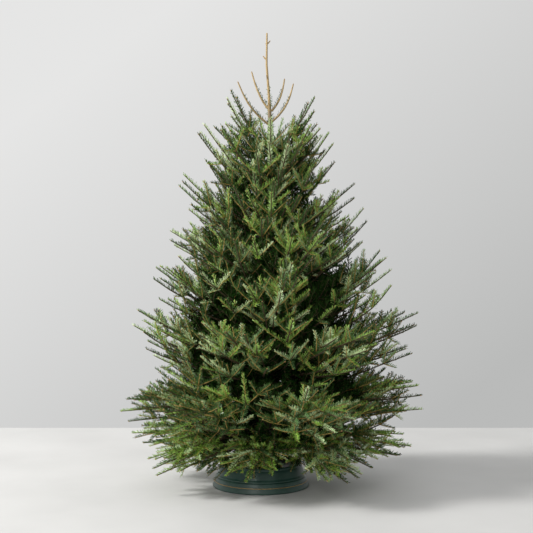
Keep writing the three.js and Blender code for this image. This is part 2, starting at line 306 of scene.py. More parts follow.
base = clamp_low.z
ring_in, ring_out = CLAMP_RADIUS - RING_WALL, CLAMP_RADIUS
ring_profile = [(ring_in, base), (ring_out, base), (ring_out, base + RING_HEIGHT - 0.002)]
ring_profile += [(ring_out - 0.002, base + RING_HEIGHT), (ring_in + 0.001, base + RING_HEIGHT)]
ring_profile += [(ring_in, base + RING_HEIGHT - 0.001), (ring_in, base)]
clamp_parts = [lathe(ring_profile, 64, clamp_middle)]
for k in range(JAWS):
    turn = 2 * math.pi * (k + 0.5) / JAWS
    heel = ring_in + RING_WALL / 2
    jaw = [(heel - 0.002, base + 0.002), (heel + 0.002, base + 0.002), (heel + 0.002, base + 0.029),
           (GRIP + 0.004, clamp_high.z - 0.002), (GRIP + 0.0005, clamp_high.z - 0.002),
           (GRIP + 0.0005, clamp_high.z - 0.010), (heel - 0.002, base + 0.027)]
    clamp_parts.append(prism(jaw, JAW_HALF_WIDTH, turn, clamp_middle))
    out = Vector((math.cos(turn), math.sin(turn), 0))
    axle = Vector((clamp_middle.x, clamp_middle.y, base + RING_HEIGHT * 0.5))
    clamp_parts.append(rod(axle + out * (ring_in - 0.001), axle + out * (ring_out + 0.016), SCREW_RADIUS))
    clamp_parts.append(rod(axle + out * (ring_out + 0.012), axle + out * (ring_out + 0.018),
                           SCREW_HEAD_RADIUS, 6))
clamp = new_piece("clamp_ring", *join(clamp_parts), zinc, smooth=False)
edges = clamp.modifiers.new("eased_edges", "BEVEL")
edges.width = 0.0005
edges.segments = 2
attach(clamp, "root")
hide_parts("stand_clamp")

# ---- The trunk ---------------------------------------------------------------------------------------------
# The stem of a young fir: smooth grey-brown bark with resin blisters and fine cracks, a collar at each whorl,
# and above the last whorl the golden wood of the leader.
trunk_points = np.array([v.co for v in NODES["trunk"].data.vertices])
RING_GAP = 0.010  # points further apart in height than this stand on different rings


def trunk_ring(z):
    """The trunk's middle and radius at a height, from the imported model's rings, which tilt a little."""
    climbing = trunk_points[trunk_points[:, 2].argsort()]
    cuts = np.flatnonzero(np.diff(climbing[:, 2]) > RING_GAP) + 1
    rings = []
    for ring in np.split(climbing, cuts):
        low, high = ring.min(0), ring.max(0)
        rings.append((*((low + high) / 2), (high[0] - low[0]) / 2))
    rings = np.array(rings)
    return [np.interp(z, rings[:, 2], rings[:, k]) for k in (0, 1, 3)]


TRUNK_FOOT = trunk_points[:, 2].min()
TREE_TOP = trunk_points[:, 2].max()
RINGS = np.linspace(TRUNK_FOOT, TREE_TOP, 400)
trunk_x, trunk_y, trunk_r = trunk_ring(RINGS)


def trunk_at(z):
    """The trunk's middle and radius at one height."""
    x, y, r = (float(np.interp(z, RINGS, values)) for values in (trunk_x, trunk_y, trunk_r))
    return Vector((x, y, z)), r


CROWN_NODE = max(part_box(n)[0].z for n in NODES if n.startswith("crown_arm")) + 0.008
TIERS = ("skirt", "low", "broad", "middle", "upper", "shoulder", "neck", "spire")


def whorl_height(tier):
    """The height where a tier's boughs leave the trunk: that of the tier's points nearest to its axis."""
    names = [n for n in NODES if n.startswith(f"foliage_{tier}_")]
    places = np.array([v.co for n in names for v in NODES[n].data.vertices])
    apart = np.hypot(places[:, 0], places[:, 1])
    return float(places[apart < np.percentile(apart, 4)][:, 2].mean())


WHORLS = [whorl_height(tier) for tier in TIERS] + [CROWN_NODE]
TRUNK_SIDES = 48
TRUNK_LEVELS = 380
COLLAR_HALF = 0.016  # half the height of the swelling at a whorl
COLLAR_SWELL = 0.10  # its share of the trunk's radius


def bark_relief(place, size):
    """How far the bark stands out: long cracks, blisters and a fine grain, shallower on thin wood."""
    stretched = Vector((place.x * 90, place.y * 90, place.z * 22))
    cracks = noise.fractal(stretched, 0.9, 2.1, 4)
    blisters = max(0.0, noise.noise(place * 65) - 0.32)
    return size * (0.035 * cracks + 0.22 * blisters)


trunk_vertices, trunk_faces = [], []
for level in range(TRUNK_LEVELS + 1):
    z = TRUNK_FOOT + (TREE_TOP - 0.004 - TRUNK_FOOT) * level / TRUNK_LEVELS
    middle, radius = trunk_at(z)
    collar = sum(math.exp(-((z - w) / COLLAR_HALF) ** 2) for w in WHORLS)
    for k in range(TRUNK_SIDES):
        a = 2 * math.pi * k / TRUNK_SIDES
        out = Vector((math.cos(a), math.sin(a), 0))
        reach = radius * (1 + COLLAR_SWELL * collar) + bark_relief(middle + out * radius, radius)
        trunk_vertices.append(middle + out * reach)
for level in range(TRUNK_LEVELS):
    for k in range(TRUNK_SIDES):
        a, b = level * TRUNK_SIDES + k, level * TRUNK_SIDES + (k + 1) % TRUNK_SIDES
        trunk_faces.append([a, b, b + TRUNK_SIDES, a + TRUNK_SIDES])
trunk_faces.append(list(range(TRUNK_SIDES - 1, -1, -1)))
tip_ring = TRUNK_LEVELS * TRUNK_SIDES
trunk_vertices.append(Vector((trunk_at(TREE_TOP)[0].x, trunk_at(TREE_TOP)[0].y, TREE_TOP)))
trunk_faces += [[tip_ring + k, tip_ring + (k + 1) % TRUNK_SIDES, len(trunk_vertices) - 1]
                for k in range(TRUNK_SIDES)]

bark, bark_tree, bark_shader = new_material("stem_bark", 0.85)
grey_bark = two_colours(
    bark_tree, speckle(bark_tree, 45, 0, 1, 8), (0.060, 0.040, 0.028), (0.17, 0.13, 0.10))
lichen = speckle(bark_tree, 14, -0.5, 0.7)
grey_bark = two_colours(bark_tree, lichen, grey_bark, (0.16, 0.16, 0.13))
GOLDEN_WOOD = (0.46, 0.33, 0.155), (0.27, 0.19, 0.085)
golden = two_colours(bark_tree, speckle(bark_tree, 160, 0, 1, 4), *GOLDEN_WOOD)
place = put(bark_tree, "ShaderNodeTexCoord").outputs["Object"]
height_of = put(bark_tree, "ShaderNodeSeparateXYZ", {0: place})
young = put(bark_tree, "ShaderNodeMapRange", {
    "Value": height_of.outputs["Z"], "From Min": CROWN_NODE - 0.10, "From Max": CROWN_NODE + 0.03})
stem_colour = two_colours(bark_tree, young.outputs[0], grey_bark, golden)
bark_tree.links.new(stem_colour, bark_shader.inputs["Base Color"])
bark_tree.links.new(speckle(bark_tree, 120, 0.7, 0.95), bark_shader.inputs["Roughness"])
grain = put(bark_tree, "ShaderNodeBump", {
    "Height": speckle(bark_tree, 420, 0, 1, 6), "Strength": 0.5, "Distance": 0.0015})
bark_tree.links.new(grain.outputs[0], bark_shader.inputs["Normal"])

trunk = new_piece("trunk_bark", trunk_vertices, trunk_faces, bark)
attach(trunk, "root")
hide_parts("trunk")

# ---- How the boughs branch ---------------------------------------------------------------------------------
# A fir grows one length of every axis each year. At the end of a year's length stand two side shoots, left
# and right in the flat of the spray, and now and then one above or below. Each axis is shorter than the one
# it stands on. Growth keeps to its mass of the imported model, give or take a little, and most of all above it.
YEAR = 0.130  # one year's length
SHORTEST = 0.055
WANDER = 0.09  # how far each half year's heading strays
SIDE_SHARE = 0.62  # a side shoot's length, as a share of what its axis still grows
CUT_BACK = 0.8  # the share of its length that a shoot keeps each time it is cut back
THINNER = 0.60  # the share of its axis's thickness that a side shoot has
PROUD = 0.034  # how far a shoot may stand out of its mass
HEADROOM = 0.028  # how much further it may stand straight above the mass
LOWEST = 0.085  # no shoot hangs lower than this
DEEPEST_ORDER = 3
SKY = Vector((0, 0, 1))
draw = random.Random(31)


class Axis:
    """One axis of a bough: its points, how many times it has branched, its thickness and its spray's tint."""

    def __init__(self, points, order, thick, mass, spray):
        self.points, self.order, self.thick, self.mass, self.spray = points, order, thick, mass, spray


class Mass:
    """The space that one mass of foliage fills, and the middle line of the boughs in it."""

    def __init__(self, name):
        self.name = name
        self.tier = name.split("_")[1]
        shell = bmesh.new()
        shell.from_mesh(NODES[name].data)
        bmesh.ops.remove_doubles(shell, verts=shell.verts, dist=1e-5)
        self.shell = BVHTree.FromBMesh(shell)
        places = np.array([v.co for v in shell.verts])
        shell.free()
        foot = trunk_at(float(places[:, 2].mean()))[0]
        apart = np.hypot(places[:, 0] - foot.x, places[:, 1] - foot.y)
        tip = places[apart.argmax()]
        self.reach = float(apart.max())
        self.inner = float(apart.min())
        self.line_tip = float(tip[2])
        self.bearing = math.atan2(tip[1] - foot.y, tip[0] - foot.x)
        self.line = np.polyfit(apart, places[:, 2], 2)
        turned = np.arctan2(places[:, 1] - foot.y, places[:, 0] - foot.x) - self.bearing
        turned = (turned + math.pi) % (2 * math.pi) - math.pi
        self.half_angle = float(np.sort(abs(turned[apart < 0.75 * self.reach]))[-6])
        self.half_depth = float(np.sort(abs(places[:, 2] - np.polyval(self.line, apart)))[-6])

    def middle(self, distance, turn=0.0, lift=0.0):
        """A point on the mass's middle surface, at a distance from the trunk's axis."""
        z = float(np.polyval(self.line, distance)) + lift
        a = self.bearing + turn
        return trunk_at(z)[0] + Vector((math.cos(a), math.sin(a), 0)) * distance

    def proud(self, place):
        """How far a point stands out of the mass, less its headroom; less than 0 inside it."""
        near, normal, _, gap = self.shell.find_nearest(place)
        if (place - near).dot(normal) <= 0:
            return -gap
        return gap - HEADROOM * max(0.0, (place.z - near.z) / max(gap, 1e-6))


axes = []


def turn_up(heading, side, rise):
    """Bends a heading towards the sky, and keeps the spray's side vector square to it."""
    heading = (heading + SKY * rise).normalized()
    side = (side - heading * side.dot(heading)).normalized()
    return heading, side


def grow(foot, heading, side, length, order, mass, rise, thick, spray):
    """Grows one axis, and the side shoots at each year's end but the last."""
    years = max(1, round(length / YEAR))
    step = length / years
    points, place, nodes = [foot], foot, []
    for year in range(years):
        for _ in range(2):
            wander = Vector((draw.uniform(-1, 1), draw.uniform(-1, 1), draw.uniform(-1, 1))) * WANDER
            heading, side = turn_up(heading + wander, side, rise / 2)
            place = place + heading * (step / 2)
            points.append(place)
        if year > 0 and mass.proud(place) > PROUD:
            points = points[:-2]
            break
        nodes.append((place, heading, side, length - step * (year + 1)))
    axes.append(Axis(points, order, thick, mass, spray))
    if order < DEEPEST_ORDER:
        for node in nodes[:-1]:
            side_shoots(*node, order, mass, rise, thick, spray)


def side_shoots(place, heading, side, left, order, mass, rise, thick, spray):
    """What stands at one year's end: a shoot to each side, and by chance one above and one below."""
    above = heading.cross(side)
    above = above if above.z > 0 else -above
    lift = HABIT[mass.tier][1]
    reach = SIDE_SHARE * (left + 0.45 * YEAR)
    for hand in (-1, 1):
        angle = hand * math.radians(draw.uniform(40, 56))
        lifted = above * draw.uniform(0.4 * lift, 1.3 * lift)
        branch(place, heading * math.cos(angle) + side * math.sin(angle) + lifted,
               side * math.cos(angle) - heading * math.sin(angle),
               max(SHORTEST, reach * draw.uniform(0.8, 1.12)), order, mass, rise, thick, spray)
    for hand, chance, shortest, longest in ((1, 0.75, 0.45, 0.8), (-1, 0.45, 0.35, 0.6)):
        if draw.random() < chance:
            angle = hand * math.radians(draw.uniform(34, 58))
            branch(place, heading * math.cos(angle) + above * math.sin(angle), side,
                   max(SHORTEST, reach * draw.uniform(shortest, longest)), order, mass, rise, thick, spray)


def branch(foot, heading, side, length, order, mass, rise, thick, spray):
    """A side axis, cut back until its end is inside the mass, or left out."""
    heading = heading.normalized()
    side = (side - heading * side.dot(heading)).normalized()
    if order == 0:
        spray = draw.random()
    while length >= SHORTEST * 0.75:
        end = foot + heading * length + SKY * (rise * length / 2)
        if end.z > LOWEST and mass.proud(end) < PROUD:
            grow(foot, heading, side, length, order + 1, mass, rise, thick * THINNER, spray)
            return
        length *= CUT_BACK


# How each tier carries itself: how much its shoots turn up each year, how far its side shoots lift out of the
# flat of the spray, and how many boughs share one mass.
HABIT = {
    "skirt": (-0.12, 0.06, 8), "low": (0.12, 0.28, 9), "broad": (0.20, 0.40, 9), "middle": (0.22, 0.42, 9),
    "upper": (0.24, 0.40, 8), "shoulder": (0.24, 0.32, 6), "neck": (0.22, 0.22, 5), "spire": (0.20, 0.14, 4),
}
TIP_LIFT = 0.012  # how far the last year of a bough's own length rises above its line, where the lift is 0.5
# The zones of the crown, and the share of a mass's reach from which a shoot counts as an outer one there.
ZONE_TIERS = {"skirt": ("skirt",), "foot": ("low",), "waist": ("broad", "middle"),
              "top": ("upper", "shoulder", "neck", "spire")}
OUTER_FROM = {"skirt": 0.44, "foot": 0.56, "waist": 0.58, "top": 0.40}
zone_of = {tier: zone for zone, tiers in ZONE_TIERS.items() for tier in tiers}


def outwardness(place, mass):
    """How far out a point stands, as a share of its mass's reach."""
    foot = trunk_at(min(place.z, TREE_TOP))[0]
    return math.hypot(place.x - foot.x, place.y - foot.y) / mass.reach


def is_outer(place, mass):
    """Whether a point is far enough out for full needles, tan wood and a bud."""
    return outwardness(place, mass) > OUTER_FROM[zone_of[mass.tier]]


# Where the boughs of one mass run, as shares of its half angle and half depth.
PLACES = ((0, 0), (0.6, 0.3), (-0.6, 0.3), (0.1, 0.75), (-0.1, -0.75), (0.62, -0.5), (-0.62, -0.5),
          (0.35, 0.75), (-0.4, 0.7))

COVER = 0.012  # how far the middle line of a bough may stand out of its mass
masses = [Mass(name) for name in sorted(NODES) if name.startswith("foliage_")]
for mass in masses:
    rise, tier_lift, count = HABIT[mass.tier]
    for turn_share, lift_share in PLACES[:count]:
        turn = turn_share * mass.half_angle * draw.uniform(0.8, 1.1)
        lift = lift_share * mass.half_depth
        wood = max(trunk_at(float(np.polyval(mass.line, 0)))[1] * 0.8, 0.004)
        ends = [d for d in np.arange(mass.inner, mass.reach, 0.01)
                if mass.proud(mass.middle(d, turn, lift)) < COVER]
        end = (ends[-1] if ends else mass.inner) * (1 if turn_share == 0 else draw.uniform(0.94, 1.02))
        if end < mass.inner + 0.5 * YEAR:
            continue
        start = mass.middle(wood, turn * 0.5, lift * 0.5)
        years = max(1, round((end - wood) / YEAR))
        nodes, points = [], [start]
        for half_year in range(1, 2 * years + 1):
            share = half_year / (2 * years)
            open_out = 0.5 + 0.5 * share
            there = mass.middle(wood + (end - wood) * share, turn * open_out, lift * open_out)
            there = there + SKY * (TIP_LIFT * tier_lift * 2 * share ** 4)
            points.append(there)
            if half_year % 2 == 0:
                heading = (points[-1] - points[-2]).normalized()
                side = SKY.cross(heading).normalized()
                nodes.append((there, heading, side, (end - wood) * (1 - share)))
        thick = 0.0030 + 0.0085 * mass.reach
        axes.append(Axis(points, 0, thick, mass, draw.random()))
        for node in nodes[:-1]:
            side_shoots(*node, 0, mass, rise, thick, 0)


BETWEEN = 0.055  # how far the lesser boughs' shoots may stand further out of the masses than the others'


class BetweenWhorls:
    """The room between the masses, for the lesser boughs that leave the trunk between two whorls."""

    def __init__(self, tier, reach):
        self.tier, self.reach = tier, reach

    def proud(self, place):
        return min(mass.proud(place) for mass in masses) - BETWEEN


tier_tips = [np.mean([m.line_tip for m in masses if m.tier == tier]) for tier in TIERS]
tier_reach = [np.mean([m.reach for m in masses if m.tier == tier]) for tier in TIERS]
LESSER_BOUGHS = 150
LESSER_LOW, LESSER_HIGH = 0.22, 1.52
CLIMB_HEIGHTS, CLIMBS = (0.2, 0.6, 1.0, 1.7), (-4, 6, 18, 44)  # degrees above level, by height on the trunk
SLENDER_ABOVE = 0.8  # from this height up the lesser boughs are shorter
SUNK = 0.7  # where a lesser bough starts, as a share of the trunk's radius
GOLDEN_ANGLE = math.radians(137.5)
for k in range(LESSER_BOUGHS):
    level = LESSER_LOW + (LESSER_HIGH - LESSER_LOW) * k / (LESSER_BOUGHS - 1)
    climb = math.radians(np.interp(level, CLIMB_HEIGHTS, CLIMBS) + draw.uniform(-8, 8))
    crown_radius = float(np.interp(level + 0.05, tier_tips, tier_reach))
    length = crown_radius * draw.uniform(0.70, 1.0 if level < SLENDER_ABOVE else 0.84) / math.cos(climb)
    tier = TIERS[int(np.argmin([abs(level + 0.1 - tip) for tip in tier_tips]))]
    bearing = k * GOLDEN_ANGLE + draw.uniform(-0.3, 0.3)
    outward = Vector((math.cos(bearing), math.sin(bearing), 0))
    heading = outward * math.cos(climb) + SKY * math.sin(climb)
    foot, wood = trunk_at(level)
    room = BetweenWhorls(tier, crown_radius)
    grow(foot + outward * wood * SUNK, heading, SKY.cross(outward), length, 0, room, HABIT[tier][0] * 0.7,
         0.0028 + 0.005 * crown_radius, draw.random())


APRON_SHOOTS = 64
APRON_EDGE = 0.44  # how far from the trunk's axis they may end
APRON_DROOP = -0.22
CLEAR_OF_SIDE, CLEAR_OF_RIM = 0.02, 0.018


class Apron:
    """The room over the stand and just round it, where short shoots hang and hide its rim."""
    tier, reach = "skirt", 0.34

    def proud(self, place):
        apart = math.hypot(place.x, place.y)
        over_rim = apart > STAND_FOOT + CLEAR_OF_SIDE or place.z > STAND_TOP + CLEAR_OF_RIM
        return 0.0 if over_rim and apart < APRON_EDGE else 1.0


for k in range(APRON_SHOOTS):
    bearing = k * GOLDEN_ANGLE + draw.uniform(-0.2, 0.2)
    outward = Vector((math.cos(bearing), math.sin(bearing), 0))
    foot, wood = trunk_at(draw.uniform(0.19, 0.30))
    heading = (outward + SKY * draw.uniform(-0.10, 0.12)).normalized()
    grow(foot + outward * wood * SUNK, heading, SKY.cross(outward), draw.uniform(0.24, 0.40), 1, Apron(),
         APRON_DROOP, 0.0030, draw.random())

# ---- The boughs and twigs ----------------------------------------------------------------------------------
# Round wood that tapers from the trunk to the buds: grey-brown and rough on the boughs, tan on this year's
# shoots. A node tree lays a tube round every axis, as thick as its points say, and roughens it.


def as_lines(name, lines, **attributes):
    """A mesh of open lines, with one value for each of their points in each attribute."""
    mesh = bpy.data.meshes.new(name)
    points = [p for line in lines for p in line]
    edges, at = [], 0
    for line in lines:
        edges += [(at + k, at + k + 1) for k in range(len(line) - 1)]
        at += len(line)
    mesh.from_pydata([tuple(p) for p in points], edges, [])
    for key, values in attributes.items():
        mesh.attributes.new(key, "FLOAT", "POINT").data.foreach_set("value", np.array(values, np.float32))
    holder = bpy.data.objects.new(name, mesh)
    bpy.context.scene.collection.objects.link(holder)
    return holder


def new_geometry_tree(name, **inputs):
    """A geometry node tree with named inputs. Returns it and its group input node."""
    tree = bpy.data.node_groups.new(name, "GeometryNodeTree")
    tree.interface.new_socket("Geometry", in_out="INPUT", socket_type="NodeSocketGeometry")
    for label, (kind, value) in inputs.items():
        socket = tree.interface.new_socket(label, in_out="INPUT", socket_type="NodeSocket" + kind)
        if value is not None:
            socket.default_value = value
    tree.interface.new_socket("Geometry", in_out="OUTPUT", socket_type="NodeSocketGeometry")
    return tree, tree.nodes.new("NodeGroupInput")


def end_tree(tree, geometry, material):
    """Closes a geometry tree with its last two steps."""
    whole = put(tree, "GeometryNodeRealizeInstances", {0: geometry})
    dressed = put(tree, "GeometryNodeSetMaterial", {0: whole.outputs[0], "Material": material})
    put(tree, "NodeGroupOutput", {0: dressed.outputs[0]})


def grown(holder, tree, name, **values):
    """Runs a geometry tree on an object of lines and returns the result as a plain mesh object."""
    steps = holder.modifiers.new("growth", "NODES")
    steps.node_group = tree
    identifiers = {s.name: s.identifier for s in tree.interface.items_tree if s.in_out == "INPUT"}
    for label, value in values.items():
        steps[identifiers[label]] = value
    bpy.context.view_layer.update()
    graph = bpy.context.evaluated_depsgraph_get()
    mesh = bpy.data.meshes.new_from_object(holder.evaluated_get(graph), depsgraph=graph)
    mesh.name = name
    piece = bpy.data.objects.new(name, mesh)
    bpy.context.scene.collection.objects.link(piece)
    bpy.data.objects.remove(holder)
    return piece


wood_tree, given = new_geometry_tree(
    "wood_round_lines", Sides=("Int", 6), Relief=("Float", 0.0), Grain=("Float", 60.0),
    Material=("Material", None))
lines = put(wood_tree, "GeometryNodeMeshToCurve", {0: given.outputs["Geometry"]})
ring = put(wood_tree, "GeometryNodeCurvePrimitiveCircle", {
    "Resolution": given.outputs["Sides"], "Radius": 1.0})
thickness = put(wood_tree, "GeometryNodeInputNamedAttribute", {"Name": "thickness"}, data_type="FLOAT")
tubes = put(wood_tree, "GeometryNodeCurveToMesh", {
    "Curve": lines.outputs[0], "Profile Curve": ring.outputs[0], "Scale": thickness.outputs[0],
    "Fill Caps": True})
where = put(wood_tree, "GeometryNodeInputPosition")
rough = put(wood_tree, "ShaderNodeTexNoise", {"Vector": where.outputs[0], "Scale": given.outputs["Grain"]})
centred = put(wood_tree, "ShaderNodeMath", {0: rough.outputs[0], 1: 0.5}, operation="SUBTRACT")
depth = put(wood_tree, "ShaderNodeMath", {0: centred.outputs[0], 1: given.outputs["Relief"]},
            operation="MULTIPLY")
facing = put(wood_tree, "GeometryNodeInputNormal")
push = put(wood_tree, "ShaderNodeVectorMath", {0: facing.outputs[0], "Scale": depth.outputs[0]},
           operation="SCALE")
carved = put(wood_tree, "GeometryNodeSetPosition", {0: tubes.outputs[0], "Offset": push.outputs[0]})
smooth = put(wood_tree, "GeometryNodeSetShadeSmooth", {0: carved.outputs[0]})
end_tree(wood_tree, smooth.outputs[0], given.outputs["Material"])

TWIG_TIP, TWIG_FOOT = 0.0010, 0.0020  # the thinnest and the thickest radius of a twig
BOUGH_TIP = 0.0019
old_lines, old_thickness, young_lines, young_thickness, inner_lines, inner_thickness = [], [], [], [], [], []
for axis in axes:
    n = len(axis.points) - 1
    end = TWIG_TIP if axis.order else BOUGH_TIP
    widths = [end + (axis.thick - end) * (1 - k / n) for k in range(n + 1)]
    thin = [max(TWIG_TIP, min(w, TWIG_FOOT)) for w in widths]
    if axis.order == 0:
        old_lines.append(axis.points)
        old_thickness += widths
    elif is_outer(axis.points[-2], axis.mass):
        young_lines.append(axis.points)
        young_thickness += thin
    else:
        inner_lines.append(axis.points)
        inner_thickness += thin

bough_bark = mottled("bough_bark", 0.85, 70, (0.050, 0.034, 0.020), (0.13, 0.095, 0.060), 150, 0.7, 0.95, 8,
                     Specular_IOR_Level=0.08)
boughs = grown(as_lines("bough_lines", old_lines, thickness=old_thickness), wood_tree, "boughs",
               Sides=9, Relief=0.0035, Grain=90.0, Material=bough_bark)
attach(boughs, "root")
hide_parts(*[n for n in NODES if n.startswith("bough_")])

twig_wood = mottled("twig_wood", 0.6, 30, (0.50, 0.33, 0.095), (0.26, 0.165, 0.050), 200, 0.5, 0.75,
                    Specular_IOR_Level=0.2)
twigs = grown(as_lines("twig_lines", young_lines, thickness=young_thickness), wood_tree, "twigs",
              Sides=4, Relief=0.0006, Grain=200.0, Material=twig_wood)
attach(twigs, "root")
inner_twigs = grown(as_lines("inner_lines", inner_lines, thickness=inner_thickness), wood_tree, "inner_twigs",
                    Sides=3, Relief=0.0006, Grain=200.0, Material=bough_bark)
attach(inner_twigs, "root")

# ---- The crown arms and the leader's spurs -----------------------------------------------------------------
# The slender shoots round the leader's foot, golden like it and with few needles, and four short spurs.
ARM_KNOTS = 7
SPURS = ((2.045, 178), (2.120, 12), (2.11, 100), (1.95, 250))  # height, and bearing in degrees
arm_lines, arm_thickness = [], []
for name in sorted(n for n in NODES if n.startswith("crown_arm")):
    places = np.array([v.co for v in NODES[name].data.vertices])
    low, high = places[:, 2].min(), places[:, 2].max()
    span = (places[:, 2] - low) / (high - low)
    rises = np.linspace(0, 1, ARM_KNOTS)
    bends = [np.polyval(np.polyfit(span, places[:, k], 3), rises) for k in (0, 1)]
    line = [Vector((x, y, low + (high - low) * s)) for x, y, s in zip(*bends, rises)]
    root = trunk_at(line[0].z - 0.004)[0]
    arm_lines.append([root] + line)
    arm_thickness += [0.0056] + [0.0054 - 0.0022 * s for s in rises]
for height, bearing in SPURS:
    foot = trunk_at(height)[0]
    a = math.radians(bearing)
    out = Vector((math.cos(a), math.sin(a), 0.75)).normalized()
    arm_lines.append([foot, foot + out * 0.010, foot + out * 0.018 + SKY * 0.003])
    arm_thickness += [0.0042, 0.0036, 0.0026]

arm_wood = mottled("golden_wood", 0.6, 60, *GOLDEN_WOOD, 200, 0.5, 0.75)
arms = grown(as_lines("arm_lines", arm_lines, thickness=arm_thickness), wood_tree, "crown_arms",
             Sides=10, Relief=0.0012, Grain=160.0, Material=arm_wood)
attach(arms, "root")
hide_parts(*[n for n in NODES if n.startswith("crown_arm")])

# ---- The buds ----------------------------------------------------------------------------------------------
# Blunt resinous buds, orange-brown: one at the end of every outer shoot, arm and spur and of the leader, with
# a smaller one on each side of it.


def bud_shape(length, width, lean, turn, outline, sides):
    """One bud, a blunt spindle leaning out from the shoot's line."""
    vertices, faces = lathe(outline, sides)
    out = Vector((math.cos(turn), math.sin(turn), 0))
    axle = (SKY + out * lean).normalized()
    across = axle.orthogonal().normalized()
    above = axle.cross(across)
    vertices = [across * (x * width) + above * (y * width) + axle * (z * length) for x, y, z in vertices]
    return vertices, faces


bud_scales = mottled("bud_scales", 0.45, 300, (0.46, 0.27, 0.100), (0.27, 0.15, 0.055), 250, 0.35, 0.6)
END_BUD = [(0, -0.1), (0.9, 0.25), (0.8, 0.7), (0, 1.0)]
SIDE_BUD = [(0, 0), (1.0, 0.5), (0, 1.0)]
BUD_SIDES = 4
cluster_parts = [bud_shape(1.0, 0.30, 0, 0, END_BUD, BUD_SIDES)]
cluster_parts += [bud_shape(0.75, 0.24, 0.7, turn, SIDE_BUD, BUD_SIDES) for turn in (0, math.pi)]
cluster = new_piece("bud_cluster", *join(cluster_parts), bud_scales)

buds_tree, given = new_geometry_tree(
    "buds_on_tips", Cluster=("Object", None), Size=("Float", 0.008), Seed=("Int", 0),
    Material=("Material", None))
lines = put(buds_tree, "GeometryNodeMeshToCurve", {0: given.outputs["Geometry"]})
ends = put(buds_tree, "GeometryNodeCurveEndpointSelection", {"Start Size": 0, "End Size": 1})
along = put(buds_tree, "GeometryNodeInputTangent")
upright = put(buds_tree, "FunctionNodeAlignRotationToVector", {"Vector": along.outputs[0]}, axis="Z")
shape = put(buds_tree, "GeometryNodeObjectInfo", {"Object": given.outputs["Cluster"]})
varied = put(buds_tree, "FunctionNodeRandomValue", {2: 0.7, 3: 1.15, "Seed": given.outputs["Seed"]},
             data_type="FLOAT")
bud_size = put(buds_tree, "ShaderNodeMath", {0: varied.outputs[1], 1: given.outputs["Size"]},
               operation="MULTIPLY")
placed = put(buds_tree, "GeometryNodeInstanceOnPoints", {
    "Points": lines.outputs[0], "Selection": ends.outputs[0], "Instance": shape.outputs["Geometry"],
    "Rotation": upright.outputs[0], "Scale": bud_size.outputs[0]})
end_tree(buds_tree, placed.outputs[0], given.outputs["Material"])

leader_tip = [trunk_at(2.16)[0], trunk_at(TREE_TOP - 0.006)[0]]
bud_lines = [axis.points for axis in axes if is_outer(axis.points[-2], axis.mass)] + arm_lines + [leader_tip]
buds = grown(as_lines("bud_lines", bud_lines), buds_tree, "buds",
             Cluster=cluster, Size=0.0074, Seed=4, Material=bud_scales)
bpy.data.objects.remove(cluster)
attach(buds, "root")

# ---- The needles -------------------------------------------------------------------------------------------
# Flat blunt needles, green above and paler beneath, set in a spiral and combed to the shoot's sides, so that
# its tan wood shows. They lean forward, more so towards its tip. Each spray has one tint; angles are radians.
COMB_FROM, COMB_OVER = 0.32, 1.85  # how far from the shoot's top the needles start, and how far they spread
LEAN, LEAN_SPREAD, LEAN_AT_TIP = 0.98, 0.36, -0.42  # a needle's angle to its shoot, and how it varies
UPSWEEP = 0.18
SHORTER_AT_TIP = -0.30
GOLDEN = 0.381966
blade = bpy.data.meshes.new("needle_blade")
blade.from_pydata([(0, -0.36, 0), (0, 0.36, 0), (1, 0.42, 0.10), (1, -0.42, 0.0)], [], [(0, 3, 2), (0, 2, 1)])
needle = bpy.data.objects.new("needle_blade", blade)
bpy.context.scene.collection.objects.link(needle)

needle_tree, given = new_geometry_tree(
    "needles_on_shoots", Needle=("Object", None), Length=("Float", 0.019), Width=("Float", 0.0022),
    Seed=("Int", 0), Material=("Material", None))
lines = put(needle_tree, "GeometryNodeMeshToCurve", {0: given.outputs["Geometry"]})
along_share = put(needle_tree, "GeometryNodeSplineParameter")
marked = put(needle_tree, "GeometryNodeStoreNamedAttribute", {
    0: lines.outputs[0], "Name": "along", "Value": along_share.outputs["Factor"]},
    data_type="FLOAT", domain="POINT")
gap = put(needle_tree, "GeometryNodeInputNamedAttribute", {"Name": "spacing"}, data_type="FLOAT")
seats = put(needle_tree, "GeometryNodeCurveToPoints", {
    "Curve": marked.outputs[0], "Length": gap.outputs[0]}, mode="LENGTH")
tangent = put(needle_tree, "GeometryNodeStoreNamedAttribute", {
    0: seats.outputs["Points"], "Name": "wood_way", "Value": seats.outputs["Tangent"]},
    data_type="FLOAT_VECTOR", domain="POINT")


def math_node(operation, first, second=0.0, third=0.0):
    """A sum on each needle."""
    return put(needle_tree, "ShaderNodeMath", {0: first, 1: second, 2: third}, operation=operation).outputs[0]


def vector_node(operation, first, second=None, scale=None):
    """A sum on each needle's vectors."""
    wired = {0: first}
    if second is not None:
        wired[1] = second
    if scale is not None:
        wired["Scale"] = scale
    return put(needle_tree, "ShaderNodeVectorMath", wired, operation=operation).outputs[0]


def random_node(low, high, seed_step):
    """A number drawn for each needle."""
    seed = math_node("ADD", given.outputs["Seed"], seed_step)
    wired = {2: low, 3: high, "Seed": seed}
    return put(needle_tree, "FunctionNodeRandomValue", wired, data_type="FLOAT").outputs[1]


